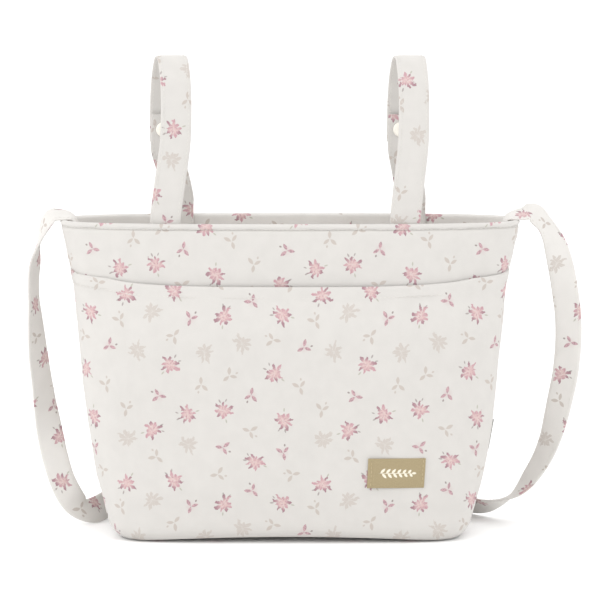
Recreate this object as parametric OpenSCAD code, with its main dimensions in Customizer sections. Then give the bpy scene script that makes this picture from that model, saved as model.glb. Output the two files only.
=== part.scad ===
// Stroller diaper bag: a boxed fabric tote with a front pocket, a zipped mouth,
// two snap-open stroller loops and a long shoulder strap.
// Frame: +X to the wearer's right as seen from the front, +Y to the back, +Z up.
// The origin is the centre of the base, on the table.

/* [Bag body] */
// Width across the side seams at the rim
rim_w = 362; // [340:2:380]
// Width of the base, before its edge is rounded
base_w = 274; // [260:2:300]
// Depth of the mouth at the rim
rim_d = 86; // [80:2:100]
// Depth of the base, before its edge is rounded
base_d = 124; // [110:2:136]
// Height of the rim above the table
rim_h = 248; // [246:1:256]
// How far the sides swell below the middle and pull in above it
sway = 2; // [0:0.5:3]
// Radius of the soft edge round the base
edge_r = 12; // [10:1:16]

/* [Cloth layers] */
// Thickness of the printed outer cloth
outer_t = 1; // [0.8:0.1:1.2]
// Thickness of the quilt wadding
wadding_t = 3; // [2:0.2:3.4]
// Thickness of the lining cloth
lining_t = 0.8; // [0.6:0.1:1]
// Thickness of the board in the base
board_t = 2; // [1.5:0.1:2.4]

/* [Front pocket] */
// Height of the pocket mouth at the middle of the front
pocket_h = 200; // [180:1:205]
// How much higher the mouth is where it meets the side seams
pocket_rise = 12; // [0:1:14]
// How far the pocket mouth stands off the front panel
pocket_gape = 9; // [8:0.5:12]

/* [Zip] */
// Height of the zip above the table
zip_h = 222; // [218:1:226]
// Half of the length of the zip that opens
zip_half = 120; // [100:2:124]
// Half of the width of the mouth when it is unzipped
mouth_half = 33; // [28:1:34]
// Pitch of the zip teeth
tooth_pitch = 3; // [2.5:0.5:4]

/* [Straps] */
// Width of the stroller loops
loop_w = 24; // [20:1:26]
// Width of the shoulder strap
strap_w = 21; // [18:1:24]
// Thickness of a strap
strap_t = 2.4; // [2:0.1:2.6]
// Diameter of a snap's cap
snap_d = 12; // [10:0.5:13]

/* [Labels] */
// Width of the front patch
patch_w = 44; // [36:1:50]
// Height of the front patch
patch_h = 23; // [18:1:28]

/* [Hidden] */
$fn = 48;
ply = 0.1;             // air between two layers of cloth
seam = 0.15;           // half of the gap at a side seam
facing_h = 27;         // how far the facing reaches down inside the rim
rim_fold = 1.3;        // thickness of the cloth folded over the rim
pocket_seam_angle = -52; // where the pocket is sewn into the base edge, in degrees below the wall
body_gap = 0.4;        // air between two bodies that move
wall = outer_t + ply + wadding_t + ply + lining_t; // outside to inside of the whole wall

PRINT = "#e9e6e0";
LINING = "#e3d9c8";
WADDING = "#fbfbf8";
TAPE = "#efe9df";
METAL = "#c9b27c";
SNAP = "#f2eee0";

// Half width, half depth and squareness of the bag's outline at height z
function half_w(z) = (base_w + (rim_w - base_w) * z / rim_h) / 2 + sway * sin(360 * z / rim_h);
function half_d(z) = (base_d + (rim_d - base_d) * z / rim_h) / 2;
function squareness(z) = 6 - 3 * z / rim_h;

// Point of the skin that lies d inside the outer cloth. s runs from -1 at the left side seam
// to 1 at the right one. v is degrees below the wall round the base edge when negative, and
// millimetres up the wall when positive.
function skin(s, v, d) =
    let (turn = 90 + min(v, 0),
         inset = v < 0 ? edge_r - (edge_r - d) * sin(turn) : d,
         z = v < 0 ? edge_r - (edge_r - d) * cos(turn) : edge_r + v,
         a = half_w(z) - inset,
         b = half_d(z) - inset,
         n = squareness(z),
         run = abs(s) * (a + b),
         q = run < a ? [run / a, 1] : [1, (a + b - run) / b],
         k = pow(pow(q[0], n) + pow(q[1], n), -1 / n))
    [sign(s) * a * q[0] * k, -b * q[1] * k, z];

// Distance from the middle plane to the skin d inside, at a given x and height
function wall_y(x, z, d) =
    let (a = half_w(z) - d, b = half_d(z) - d, n = squareness(z))
    b * pow(max(0, 1 - pow(abs(x) / a, n)), 1 / n);

// Grids run from one edge to the other in equal steps
function steps(from, to, count) = [for (i = [0:count]) from + (to - from) * i / count];
function flat(rows) = [for (row = rows) each row];
s_seam = 1 - seam / (half_w(rim_h) + half_d(rim_h));
ss_wall = steps(-s_seam, s_seam, 28);

// Closed sheet of cloth between two grids of points, the first of them on the outside
module sheet(outside, inside) {
    rows = len(outside);
    cols = len(outside[0]);
    function at(i, j, k) = k * rows * cols + i * cols + j;
    quads = concat(
        [for (i = [0:rows - 2], j = [0:cols - 2])
            [at(i, j, 0), at(i, j + 1, 0), at(i + 1, j + 1, 0), at(i + 1, j, 0)]],
        [for (i = [0:rows - 2], j = [0:cols - 2])
            [at(i, j, 1), at(i + 1, j, 1), at(i + 1, j + 1, 1), at(i, j + 1, 1)]],
        [for (i = [0:rows - 2])
            [at(i, 0, 0), at(i + 1, 0, 0), at(i + 1, 0, 1), at(i, 0, 1)]],
        [for (i = [0:rows - 2])
            [at(i, cols - 1, 1), at(i + 1, cols - 1, 1), at(i + 1, cols - 1, 0), at(i, cols - 1, 0)]],
        [for (j = [0:cols - 2])
            [at(0, j, 1), at(0, j + 1, 1), at(0, j + 1, 0), at(0, j, 0)]],
        [for (j = [0:cols - 2])
            [at(rows - 1, j, 0), at(rows - 1, j + 1, 0), at(rows - 1, j + 1, 1), at(rows - 1, j, 1)]]);
    polyhedron(
        points = concat(flat(outside), flat(inside)),
        faces = [for (q = quads) each [[q[0], q[1], q[2]], [q[0], q[2], q[3]]]],
        convexity = 8);
}

// Solid swept through rings of points. cap lists the flat faces that close its two ends
module swept(rings, cap) {
    sides = len(rings[0]);
    last = len(rings) - 1;
    polyhedron(
        points = flat(rings),
        faces = concat(
            cap,
            [for (f = cap) [for (k = [len(f) - 1:-1:0]) last * sides + f[k]]],
            [for (i = [0:last - 1], k = [0:sides - 1])
                let (a = i * sides + k, b = i * sides + (k + 1) % sides, c = a + sides, d = b + sides)
                each [[a, c, d], [a, d, b]]]),
        convexity = 8);
}

// Layer of the front wall between the skins d1 and d2, over a list of s and a list of v
module front_layer(d1, d2, ss, vs) {
    sheet([for (s = ss) [for (v = vs) skin(s, v, d1)]],
          [for (s = ss) [for (v = vs) skin(s, v, d2)]]);
}

module to_back() {
    mirror([0, 1, 0]) children();
}

// ---- Outer cloth ------------------------------------------------------------
edge_vs = [-90, -66, -42, -20];
wall_top = rim_h - rim_fold - ply - edge_r;
facing_end = rim_h - facing_h - edge_r;  // how far up the wall the facing's lower edge is
// Rows of the wall between two heights above the base edge, the same rows in every layer
function wall_rows(from, to) =
    concat([from], [for (v = steps(0, facing_end, 6)) if (v > from && v < to) v], [to]);

module outer_half() {
    color(PRINT)
        front_layer(0, outer_t, ss_wall, concat(edge_vs, wall_rows(0, wall_top)));
}

// Outline of the flat of the base, grown beyond the start of the base edge
module base_outline(grow) {
    front = [for (s = ss_wall) skin(s, -90, 0)];
    offset(delta = grow)
        polygon([for (p = front) [p[0], p[1]],
                 for (i = [len(front) - 1:-1:0]) [front[i][0], -front[i][1]]]);
}

module base_layer(z, t, grow) {
    translate([0, 0, z]) linear_extrude(t) base_outline(grow);
}

// ---- Pocket -----------------------------------------------------------------
// Top of the pocket at s, and how far it stands off the front panel at a share of its height
function pocket_top(s) = pocket_h + pocket_rise * pow(abs(s), 3);
function gape(s, share) =
    pocket_gape * pow(max(0, cos(90 * s)), 0.8) * (0.35 + 0.65 * share) * min(1, share * 5);
// Point d outside the front panel's face, with the pocket's own shape
function pocket_skin(s, v, share, d) = skin(s, v, -d - gape(s, share));

seam_share = 0.06;     // the part of the pocket that lies below the wall, round the base edge
module pocket_layer(d1, d2, drop) {
    function v_at(s, share) =
        share < seam_share
            ? pocket_seam_angle * (1 - share / seam_share)
            : (pocket_top(s) - drop - edge_r) * (share - seam_share) / (1 - seam_share);
    function grid(d) = [for (s = ss_wall)
        [for (share = [0, seam_share / 2, seam_share, 0.14, 0.24, 0.36, 0.5, 0.64, 0.78, 0.9, 1])
            pocket_skin(s, v_at(s, share), share, d)]];
    sheet(grid(d1), grid(d2));
}

pocket_ply = 0.3;      // air between the front panel and the pocket's lining
pocket_out = pocket_ply + lining_t + ply + outer_t;  // front panel's face to the pocket's outside
module pocket_panel() {
    color(PRINT) pocket_layer(pocket_out, pocket_out - outer_t, 0);
}

module pocket_lining() {
    color(LINING) pocket_layer(pocket_ply + lining_t, pocket_ply, 2);
}

// ---- Rim facing -------------------------------------------------------------
// Folded over the top of the wall and down inside it
module facing_half() {
    top = rim_h - edge_r;
    outside_d = wall - lining_t + 0.4;
    inside_d = outside_d + outer_t;
    section = [[0, top - rim_fold], [0, top], [inside_d, top],
               [inside_d, top - facing_h], [outside_d, top - facing_h], [outside_d, top - rim_fold]];
    color(PRINT)
        swept([for (s = ss_wall) [for (q = section) skin(s, q[1], q[0])]],
              [[0, 1, 2], [0, 2, 5], [2, 3, 4], [2, 4, 5]]);
}

// ---- Wadding and lining -----------------------------------------------------
module wadding_half() {
    color(WADDING)
        front_layer(outer_t + ply, outer_t + wadding_t - ply, ss_wall, wall_rows(2, wall_top - 1));
}

module lining_half() {
    color(LINING)
        front_layer(wall - lining_t, wall, ss_wall, wall_rows(2, facing_end - 1));
}

board_z = outer_t + ply;
lining_base_z = board_z + board_t + ply;

// ---- Inner pocket, on the back lining --------------------------------------
inner_pocket_s = 0.34;
function inner_gape(s, share) = 5 * pow(max(0, cos(90 * s / inner_pocket_s)), 0.6) * min(1, share * 2.5);

module inner_pocket_layer(t, share1, share2) {
    function grid(d) = [for (s = steps(-inner_pocket_s, inner_pocket_s, 10))
        [for (share = steps(share1, share2, share2 - share1 > 0.5 ? 5 : 1))
            skin(s, 40 + 110 * share, wall + ply + d + inner_gape(s, share))]];
    sheet(grid(0), grid(t));
}

// ---- Zip --------------------------------------------------------------------
sheet_z = zip_h - 0.4;       // underside of the cloth beside the zip
cloth_t = 1;
tape_w = 12;
tape_t = 0.8;
coil_out = 2.4;              // outer edge of a row of teeth
coil_in = 0.7;               // inner edge of a row of teeth
coil_t = 2;
zip_end = 146;               // where the zip's cloth ends meet the end tabs

// Cloth that fills the mouth round the opening part of the zip
module zip_surround() {
    color(PRINT) difference() {
        translate([0, 0, sheet_z]) linear_extrude(cloth_t) {
            rim = [for (s = ss_wall) skin(s, zip_h - edge_r, wall + 0.9)];
            polygon([for (p = rim) [p[0], p[1]],
                     for (i = [len(rim) - 1:-1:0]) [rim[i][0], -rim[i][1]]]);
        }
        translate([0, 0, sheet_z + cloth_t / 2])
            cube([2 * zip_half + 2 * body_gap, 2 * mouth_half + 2 * body_gap, 4], center = true);
        translate([0, 0, sheet_z + cloth_t / 2])
            cube([2 * zip_end, 2 * (coil_out + ply), 4], center = true);
    }
}

// The two ends of the zip that never open: coil stubs, a stop and a cloth end tab
module zip_ends() {
    color(TAPE)
        for (side = [-1, 1]) {
            for (row = [-1, 1])
                translate([side * (zip_half + zip_end - 6) / 2, row * (coil_in + coil_out) / 2, zip_h])
                    cube([zip_end - 6 - zip_half - 2 * body_gap, coil_out - coil_in, coil_t], center = true);
            translate([side * (zip_end - 3), 0, zip_h])
                cube([5.4, 2 * coil_out, coil_t + 1.2], center = true);
        }
}

// One side of the opening zip. Built on the front side, its hinge line at y = -mouth_half
module flap_cloth() {
    color(PRINT)
        translate([-zip_half, -mouth_half, sheet_z])
            cube([2 * zip_half, mouth_half - 7, cloth_t]);
}

module flap_tape() {
    color(TAPE)
        translate([-zip_half, -coil_out - tape_w, sheet_z - ply - tape_t])
            cube([2 * zip_half, tape_w, tape_t]);
}

module flap_coil() {
    color(TAPE)
        translate([0, 0, zip_h - coil_t / 2])
            linear_extrude(coil_t)
                polygon(concat(
                    [[-zip_half, -coil_out], [-zip_half, -coil_out + 0.8]],
                    [for (x = [-zip_half + tooth_pitch / 2:tooth_pitch:zip_half - tooth_pitch / 2])
                        each [[x - tooth_pitch / 4, -coil_out + 0.8], [x - tooth_pitch / 4, -coil_in],
                              [x + tooth_pitch / 4, -coil_in], [x + tooth_pitch / 4, -coil_out + 0.8]]],
                    [[zip_half, -coil_out + 0.8], [zip_half, -coil_out]]));
}

// Slider, parked at the right-hand end of the zip
slider_x = 132;
slider_l = 11;
slider_w = 10;
plate_t = 1;
plate_gap = coil_t / 2 + 0.6;  // middle of the coil to the face of a plate
pin_z = zip_h + plate_gap + plate_t + 1.6;
pin_r = 0.6;
pull_l = 27;

module zip_slider() {
    color(METAL) {
        for (side = [-1, 1])
            translate([slider_x, 0, zip_h + side * (plate_gap + plate_t / 2)])
                intersection() {
                    cube([slider_l, slider_w, plate_t], center = true);
                    cylinder(h = plate_t, r = slider_l * 0.6, center = true);
                }
        // post between the two plates, in the gap between the rows of teeth
        translate([slider_x, 0, zip_h])
            cube([4, 0.7, 2 * plate_gap + 0.2], center = true);
        // bridge that holds the pin of the pull
        for (side = [-1, 1])
            translate([slider_x, side * 2.6, zip_h + plate_gap + plate_t + 1.2])
                cube([3.2, 1, 2.6], center = true);
        translate([slider_x, 0, pin_z])
            rotate([90, 0, 0]) cylinder(h = 5, r = pin_r, center = true);
    }
}

// Pull tab, lying flat and pointing away from the mouth
module zip_pull() {
    color(METAL) difference() {
        hull() {
            translate([slider_x, 0, pin_z]) rotate([90, 0, 0]) cylinder(h = 3.6, r = 1.3, center = true);
            translate([slider_x + pull_l - 3.5, 0, pin_z]) cylinder(h = 1.4, r = 3.4, center = true, $fn = 32);
        }
        translate([slider_x, 0, pin_z])
            rotate([90, 0, 0]) cylinder(h = 8, r = pin_r + 0.08, center = true);
        translate([slider_x + pull_l - 4, 0, pin_z]) cylinder(h = 6, r = 1.6, center = true);
    }
}

// ---- Straps -----------------------------------------------------------------
// A strap follows [x, y, z, wx, wy, wz]: a point of its middle line and the way its width points
function spline(p, i, t) =
    let (a = p[max(i - 1, 0)], b = p[i], c = p[i + 1], d = p[min(i + 2, len(p) - 1)])
    0.5 * (2 * b + (c - a) * t + (2 * a - 5 * b + 4 * c - d) * t * t + (3 * b - a - 3 * c + d) * t * t * t);
function route(p, per) = concat(
    [for (i = [0:len(p) - 2], k = [0:per - 1]) spline(p, i, k / per)], [p[len(p) - 1]]);
function part3(p, from) = [p[from], p[from + 1], p[from + 2]];
function unit(v) = v / norm(v);

module band(points, width, per = 3) {
    line = route(points, per);
    last = len(line) - 1;
    // six-sided section: flat faces with a blunt folded edge on either side
    half = width / 2;
    thick = strap_t / 2;
    section = [[half - 1, thick], [half, 0], [half - 1, -thick], [-half + 1, -thick], [-half, 0], [-half + 1, thick]];
    rings = [for (i = [0:last])
        let (c = part3(line[i], 0),
             along = unit(part3(line[min(i + 1, last)], 0) - part3(line[max(i - 1, 0)], 0)),
             raw = part3(line[i], 3),
             w = unit(raw - along * (raw * along)),
             up = cross(along, w))
        [for (q = section) c + w * q[0] + up * q[1]]];
    swept(rings, [[0, 1, 2, 3, 4, 5]]);
}

// Each loop: where it is sewn at the front and back, where it stands and how far it is turned
//            [front x, back x, middle x, turn]
LOOP_LEFT = [-97, -89, -93, 10.5];
LOOP_RIGHT = [90, 96, 93.5, 7];
loop_top = 375.5;
tab_y = 31.2;          // middle line of the tab, in the loop's own turned frame
tail_y = 36.8;         // middle line of the tail, in the same frame
tab_top = 328;
tail_end = 306;
snap_z = 316;
snap_shift = -2;       // how far the snap is set off the strap's middle line
sewn_z = zip_h + 4;    // where the sewn end of a loop stops inside the rim
apex_gap = body_gap / 2;

// Point of a loop, y behind its middle. share is how much of the loop's turn is reached there
function turned(loop, y, z, share = 1) =
    let (turn = loop[3] * share)
    [loop[2] - y * sin(turn), y * cos(turn), z, cos(turn), sin(turn), 0];
// Sewn end against the facing, on the front (side -1) or the back (side 1)
function sewn(x, side, z) =
    let (d = wall + outer_t + strap_t / 2, y = wall_y(x, rim_h, d),
         slope = wall_y(x + 1, rim_h, d) - y)
    [x, side * y, z, 1, side * slope, 0];

function limb_points(loop) = [
    sewn(loop[0], -1, sewn_z),
    sewn(loop[0], -1, 236),
    sewn(loop[0], -1, 251),
    [0.65 * loop[0] + 0.35 * turned(loop, -33, 0)[0], -34, 278, 1, 0.05, 0],
    turned(loop, -32, 310, 0.65),
    turned(loop, -28.5, 336, 0.9),
    turned(loop, -22, 357),
    turned(loop, -12, 370.5),
    turned(loop, -5, loop_top - 0.4),
    turned(loop, -apex_gap, loop_top)];
function tail_points(loop) = [
    turned(loop, apex_gap, loop_top),
    turned(loop, 5, loop_top - 0.4),
    turned(loop, 13, 371.5),
    turned(loop, 25, 360),
    turned(loop, 33, 345),
    turned(loop, tail_y, tab_top + 2),
    turned(loop, tail_y, tab_top - 3.5),
    turned(loop, tail_y, snap_z + 0.7),
    turned(loop, tail_y, tail_end)];
function tab_root_points(loop) = [
    sewn(loop[1], 1, sewn_z),
    sewn(loop[1], 1, 236),
    sewn(loop[1], 1, rim_h + 4)];
function tab_points(loop) = [
    sewn(loop[1], 1, rim_h + 4 + body_gap),
    sewn(loop[1], 1, rim_h + 8),
    sewn(loop[1], 1, rim_h + 14),
    [0.6 * loop[1] + 0.4 * turned(loop, tab_y, 0)[0], tab_y + 1.5, 280, 1, 0.05, 0],
    turned(loop, tab_y, 300),
    turned(loop, tab_y, snap_z - 7),
    turned(loop, tab_y, snap_z),
    turned(loop, tab_y, tab_top)];

module at_snap(loop, y) {
    translate(part3(turned(loop, y, snap_z), 0))
        rotate([0, 0, loop[3]]) translate([snap_shift, 0, 0]) rotate([-90, 0, 0]) children();
}

shank_r = 1.5;
module loop_limb(loop) {
    color(PRINT) band(limb_points(loop), loop_w);
}
module loop_tail(loop) {
    color(PRINT) difference() {
        band(tail_points(loop), loop_w);
        at_snap(loop, tail_y) cylinder(h = 7, r = shank_r + 0.1, center = true);
    }
}
module tab_root(loop) {
    color(PRINT) band(tab_root_points(loop), loop_w, 2);
}
module loop_tab(loop) {
    color(PRINT) difference() {
        band(tab_points(loop), loop_w);
        at_snap(loop, tab_y) cylinder(h = 7, r = shank_r + 0.1, center = true);
    }
}

// Snap cap: a shallow dome on the cloth, with a shank through it. side is the way the dome faces
cap_t = 1.4;
stud_r = 2;
stud_h = 2;
module snap_cap(loop, y, side) {
    color(SNAP) at_snap(loop, y) scale([1, 1, side]) {
        translate([0, 0, strap_t / 2 + ply]) {
            cylinder(h = cap_t / 2, r = snap_d / 2);
            translate([0, 0, cap_t / 2]) cylinder(h = cap_t / 2, r1 = snap_d / 2, r2 = snap_d / 2 - 1.2);
        }
        translate([0, 0, -strap_t / 2]) cylinder(h = strap_t + 2 * ply, r = shank_r);
    }
}
// Socket: a ring on the tab's back face
module snap_socket(loop) {
    color(SNAP) at_snap(loop, tab_y) translate([0, 0, strap_t / 2 + ply])
        difference() {
            cylinder(h = 2.4, r = 5);
            translate([0, 0, 0.5]) cylinder(h = 4, r = stud_r + 0.45);
        }
}
// Stud: a flange on the tail's front face, with the pin that clicks into the socket
module snap_stud(loop) {
    color(SNAP) at_snap(loop, tail_y) scale([1, 1, -1]) translate([0, 0, strap_t / 2 + ply]) {
        cylinder(h = 0.45, r = 4.6);
        cylinder(h = 0.45 + stud_h - 0.3, r = stud_r);
    }
}

// ---- Shoulder strap ---------------------------------------------------------
strap_z = rim_h + 3;   // height of the line the strap swings about
root_x = 182.6;          // where the fixed root ends and the swinging strap begins

module strap_root(side) {
    color(PRINT) band([
        [side * 167, 0, sewn_z, 0, 1, 0],
        [side * 167.5, 0, 240, 0, 1, 0],
        [side * 170.5, 0, 248.2, 0, 1, 0],
        [side * 176, 0, strap_z, 0, 1, 0],
        [side * root_x, 0, strap_z, 0, 1, 0]], strap_w);
}

// Route of the strap from the left corner, down, behind the bag and up to the right corner
STRAP = [
    [-183, 0, strap_z, 0, 1, 0],
    [-184.5, 0, strap_z - 0.1, 0, 1, 0],
    [-188, 0, 248.5, 0, 1, 0],
    [-193, 0, 242, 0, 1, 0],
    [-198, 1, 229, 0, 1, 0],
    [-201.5, 2, 213, 0, 1, 0],
    [-203, 4, 197, 0.15, 1, 0],
    [-203, 6, 181, 0.27, 0.97, 0],
    [-202, 8, 163, 0.48, 0.88, 0],
    [-200.5, 10, 140, 0.64, 0.77, 0],
    [-198, 13, 117, 0.7, 0.71, 0],
    [-195.5, 16, 96, 0.82, 0.57, 0],
    [-192, 18, 73, 0.98, 0.2, 0.1],
    [-188, 19, 53, 0.97, 0, 0.25],
    [-182, 17, 34, 0.85, 0, 0.5],
    [-173, 16, 18, 0.55, 0.35, 0.7],
    [-163, 20, 10, 0.1, 0.7, 0.6],
    [-154, 33, 9.5, -0.3, 0.35, 0.85],
    [-147, 51, 11.5, -0.1, 0, 1],
    [-139, 67, 11.5, 0, 0, 1],
    [-124, 77, 11.5, 0, 0, 1],
    [-95, 83, 11.5, 0, 0.1, 1],
    [-50, 86, 11.5, 0, 0.1, 1],
    [0, 86, 11.5, 0, 0.1, 1],
    [50, 85, 11.5, 0, 0, 1],
    [95, 81, 11, 0, -0.2, 0.9],
    [128, 71, 10, -0.25, -0.35, 0.8],
    [148, 50, 9.5, -0.5, -0.35, 0.75],
    [161, 34, 13, -0.45, -0.75, 0.45],
    [174, 24, 19.5, -0.2, -0.97, 0.15],
    [183, 20, 27, 0.15, -0.97, -0.1],
    [190.5, 17, 36, 0.4, -0.88, -0.2],
    [197.5, 15, 47, 0.5, -0.82, -0.25],
    [203, 13, 58, 0.6, -0.75, -0.25],
    [208, 11, 72, 0.7, -0.65, -0.25],
    [212, 10, 88, 0.85, -0.48, -0.2],
    [215.5, 9, 105, 0.92, -0.35, -0.15],
    [219, 8, 124, 0.95, -0.28, -0.08],
    [221, 7, 148, 0.97, -0.2, 0],
    [220.5, 6, 170, 0.97, -0.1, 0],
    [218, 5, 189, 0.95, 0, 0],
    [215, 4, 206, 0.92, 0.15, 0.1],
    [211, 3, 222, 0.85, 0.35, 0.2],
    [206.5, 2, 234, 0.7, 0.65, 0.25],
    [201, 1, 243.5, 0.5, 0.78, 0.35],
    [195, 0, 250.5, 0.36, 0.7, 0.6],
    [189.5, 0, 253.5, 0, 0.85, 0.5],
    [186.5, 0, 252.2, 0, 0.95, 0.3],
    [184.5, 0, strap_z + 0.1, 0, 1, 0],
    [183, 0, strap_z, 0, 1, 0]];

module shoulder_strap() {
    color(PRINT) band(STRAP, strap_w, 2);
}

// ---- Labels -----------------------------------------------------------------
// The patch lies on the pocket and follows its shape
patch_at = [78.5, 56];
patch_t = 1;
module label_patch() {
    girth = half_w(patch_at[1]) + half_d(patch_at[1]);
    ss = steps((patch_at[0] - patch_w / 2) / girth, (patch_at[0] + patch_w / 2) / girth, 6);
    zs = steps(patch_at[1] - patch_h / 2, patch_at[1] + patch_h / 2, 2);
    function share_at(z) = seam_share + (1 - seam_share) * (z - edge_r) / (pocket_h - edge_r);
    function grid(d) = [for (s = ss) [for (z = zs) pocket_skin(s, z - edge_r, share_at(z), d)]];
    color("#b09c74") sheet(grid(pocket_out + 0.3 + patch_t), grid(pocket_out + 0.3));
}

tag_z = 77;
tag_h = 24;
tag_out = 6.5;
module side_tag() {
    lean = atan((half_w(rim_h) - half_w(0)) / rim_h);
    color("#9c9c98")
        translate([half_w(tag_z) + 0.2 + tag_out / 2, 1, tag_z]) rotate([0, lean, 0])
            cube([tag_out, 1.2, tag_h], center = true);
}

outer_half();  // outer_front
to_back() outer_half();  // outer_back
color(PRINT) base_layer(0, outer_t, -2 * ply);  // outer_base
pocket_panel();
pocket_lining();
facing_half();  // facing_front
to_back() facing_half();  // facing_back
wadding_half();  // wadding_front
to_back() wadding_half();  // wadding_back
lining_half();  // lining_front
to_back() lining_half();  // lining_back
color(LINING) base_layer(lining_base_z, lining_t, 4);  // lining_base
color("#8d8a86") base_layer(board_z, board_t, -2 * ply);  // base_board
color(LINING) to_back() inner_pocket_layer(0.8, 0, 0.9);  // inner_pocket
color(TAPE) to_back() inner_pocket_layer(1.4, 0.91, 1);  // inner_pocket_elastic
zip_surround();
zip_ends();
flap_cloth();  // zip_cloth_front
flap_tape();  // zip_tape_front
flap_coil();  // zip_teeth_front
to_back() flap_cloth();  // zip_cloth_back
to_back() flap_tape();  // zip_tape_back
to_back() flap_coil();  // zip_teeth_back
zip_slider();
zip_pull();
loop_limb(LOOP_LEFT);  // loop_limb_left
loop_tail(LOOP_LEFT);  // loop_tail_left
tab_root(LOOP_LEFT);  // tab_root_left
loop_tab(LOOP_LEFT);  // loop_tab_left
snap_socket(LOOP_LEFT);  // snap_socket_left
snap_cap(LOOP_LEFT, tab_y, -1);  // snap_socket_cap_left
snap_stud(LOOP_LEFT);  // snap_stud_left
snap_cap(LOOP_LEFT, tail_y, 1);  // snap_stud_cap_left
loop_limb(LOOP_RIGHT);  // loop_limb_right
loop_tail(LOOP_RIGHT);  // loop_tail_right
tab_root(LOOP_RIGHT);  // tab_root_right
loop_tab(LOOP_RIGHT);  // loop_tab_right
snap_socket(LOOP_RIGHT);  // snap_socket_right
snap_cap(LOOP_RIGHT, tab_y, -1);  // snap_socket_cap_right
snap_stud(LOOP_RIGHT);  // snap_stud_right
snap_cap(LOOP_RIGHT, tail_y, 1);  // snap_stud_cap_right
strap_root(-1);  // strap_root_left
strap_root(1);  // strap_root_right
shoulder_strap();
label_patch();
side_tag();
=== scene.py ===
import math

import bmesh
import bpy
import numpy as np
from mathutils import Matrix, Vector


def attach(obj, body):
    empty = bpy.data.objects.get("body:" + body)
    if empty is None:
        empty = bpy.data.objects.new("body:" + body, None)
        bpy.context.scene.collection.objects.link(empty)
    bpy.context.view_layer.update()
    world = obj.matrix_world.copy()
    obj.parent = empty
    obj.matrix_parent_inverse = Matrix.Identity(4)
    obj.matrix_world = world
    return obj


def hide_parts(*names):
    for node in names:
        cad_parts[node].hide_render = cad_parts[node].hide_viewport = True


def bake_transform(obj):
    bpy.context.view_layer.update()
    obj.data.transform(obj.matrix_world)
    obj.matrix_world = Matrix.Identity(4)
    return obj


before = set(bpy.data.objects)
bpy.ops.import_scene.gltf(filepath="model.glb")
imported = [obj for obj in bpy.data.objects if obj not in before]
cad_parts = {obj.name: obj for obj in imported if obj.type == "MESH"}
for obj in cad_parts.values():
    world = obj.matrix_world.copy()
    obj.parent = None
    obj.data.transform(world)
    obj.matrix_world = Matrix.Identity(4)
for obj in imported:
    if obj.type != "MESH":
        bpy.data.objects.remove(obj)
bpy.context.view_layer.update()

# Looks of a printed fabric diaper bag. Shapes are worked out in millimetres, in the frame of
# the CAD part: +X to the right of the front, +Y to the back, +Z up.
MM = 0.001

# ---- Sizes that the CAD part has, in millimetres -----------------------------
RIM_W, BASE_W, RIM_D, BASE_D, RIM_H = 362, 274, 86, 124, 248
SWAY, EDGE_R = 2, 12
OUTER_T, WADDING_T, LINING_T, BOARD_T, PLY = 1, 2.9, 0.8, 2, 0.1
WALL = 5.0
POCKET_H, POCKET_RISE, POCKET_GAPE, POCKET_OUT = 200, 12, 9, 2.0
ZIP_H, ZIP_HALF, MOUTH_HALF, ZIP_END = 222, 120, 33, 146
LOOP_W, STRAP_W, STRAP_T, SNAP_D = 24, 21, 2.4, 12
FACING_H = 27
LOOP_TOP, TAB_Y, TAIL_Y, TAB_TOP, TAIL_END, SNAP_Z, SNAP_SHIFT = 375.5, 31.2, 36.8, 328, 306, 316, -2
SEWN_Z, STRAP_Z = 226, 251
PATCH_AT, PATCH_W, PATCH_H, PATCH_STITCH = (78.5, 56), 44, 23, 2.2
TAG_Z, TAG_H, TAG_OUT = 77, 24, 7.5
# front x, back x, middle x, turn in degrees
LOOPS = {"left": (-97, -89, -93, 10.5), "right": (90, 96, 93.5, 7)}

# How far the middle of the base stands off the table, half the length of that arch, and the height
# at which it has faded out of the wall
BASE_ARCH, ARCH_HALF, ARCH_H = 3.5, 115, 60


# ---- The bag's outline -------------------------------------------------------
def half_w(z):
    return (BASE_W + (RIM_W - BASE_W) * z / RIM_H) / 2 + SWAY * np.sin(2 * np.pi * z / RIM_H)


def half_d(z):
    return (BASE_D + (RIM_D - BASE_D) * z / RIM_H) / 2


def squareness(z):
    return 6 - 3 * z / RIM_H


def girth(z):
    return half_w(z) + half_d(z)


def skin(s, v, d):
    """Points d inside the outer cloth, s from -1 to 1 between the side seams of the front, and v in
    degrees below the wall round the base edge when negative, millimetres up the wall when positive"""
    s, v, d = np.broadcast_arrays(np.asarray(s, float), np.asarray(v, float), np.asarray(d, float))
    turn = np.radians(90 + np.minimum(v, 0))
    inset = np.where(v < 0, EDGE_R - (EDGE_R - d) * np.sin(turn), d)
    z = np.where(v < 0, EDGE_R - (EDGE_R - d) * np.cos(turn), EDGE_R + v)
    a = half_w(z) - inset
    b = half_d(z) - inset
    n = squareness(z)
    run = np.abs(s) * (a + b)
    qx = np.where(run < a, run / a, 1)
    qy = np.where(run < a, 1, (a + b - run) / b)
    k = (np.abs(qx) ** n + np.abs(qy) ** n) ** (-1 / n)
    return np.stack([np.sign(s) * a * qx * k, -b * qy * k, z], -1)


def wall_y(x, z, d):
    a, b, n = half_w(z) - d, half_d(z) - d, squareness(z)
    return b * max(0, 1 - (abs(x) / a) ** n) ** (1 / n)


def settle(points):
    """The base stands on its ends, and its middle arches up a little"""
    along = np.clip(1 - (points[..., 0] / ARCH_HALF) ** 2, 0, 1)
    low = np.clip(1 - points[..., 2] / ARCH_H, 0, 1) ** 2
    return points + (BASE_ARCH * along * low)[..., None] * np.array([0, 0, 1])


def to_back(points):
    return points * np.array([1, -1, 1])


def placed(side, *grids):
    """Grids shaped for the front wall, put where that side of the bag is"""
    return [to_back(grid) if side == "back" else grid for grid in grids]


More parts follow.
